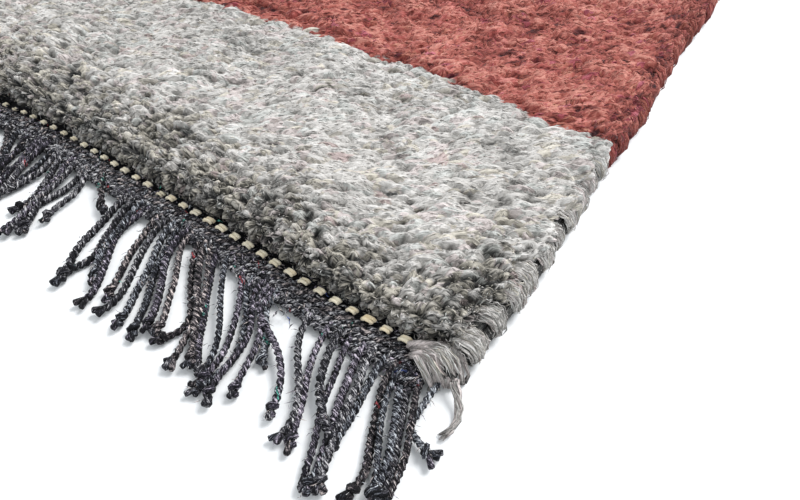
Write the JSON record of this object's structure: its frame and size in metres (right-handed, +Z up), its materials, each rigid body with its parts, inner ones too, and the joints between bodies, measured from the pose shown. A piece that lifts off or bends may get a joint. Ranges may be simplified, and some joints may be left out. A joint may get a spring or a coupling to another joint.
{
  "type": "nepalese rug",
  "caption": "Small rectangular hand-knotted wool pile rug lying flat, with flat-woven end strips, loose warp fringe, a cream twined line at each end and yarn-wrapped side edges.",
  "frame": {"origin": "on the surface that the rug lies on, under the middle of its bounding box", "axes": "+X across the rug's width, +Y along its warp from the pictured fringed end to the far end, +Z up out of the pile"},
  "size_m": [0.6058, 1.0044, 0.0196],
  "materials": {
    "wool_pile": "cut wool pile, rose field between two grey bands",
    "grey_wool": "thick loose wool yarn, matte",
    "rose_wool": "thick loose wool yarn, matte",
    "dark_warp_yarn": "twisted heather yarn, matte",
    "cream_yarn": "flat cotton yarn, matte"
  },
  "bodies": {
    "root": {"pile_slab": "wool_pile", "near_fringe": "dark_warp_yarn", "far_fringe": "dark_warp_yarn", "near_cream_line": "cream_yarn", "far_cream_line": "cream_yarn", "right_near_wrapping": "grey_wool", "right_far_wrapping": "grey_wool", "left_near_wrapping": "grey_wool", "left_far_wrapping": "grey_wool", "right_middle_wrapping": "rose_wool", "left_middle_wrapping": "rose_wool"}
  },
  "joints": []
}
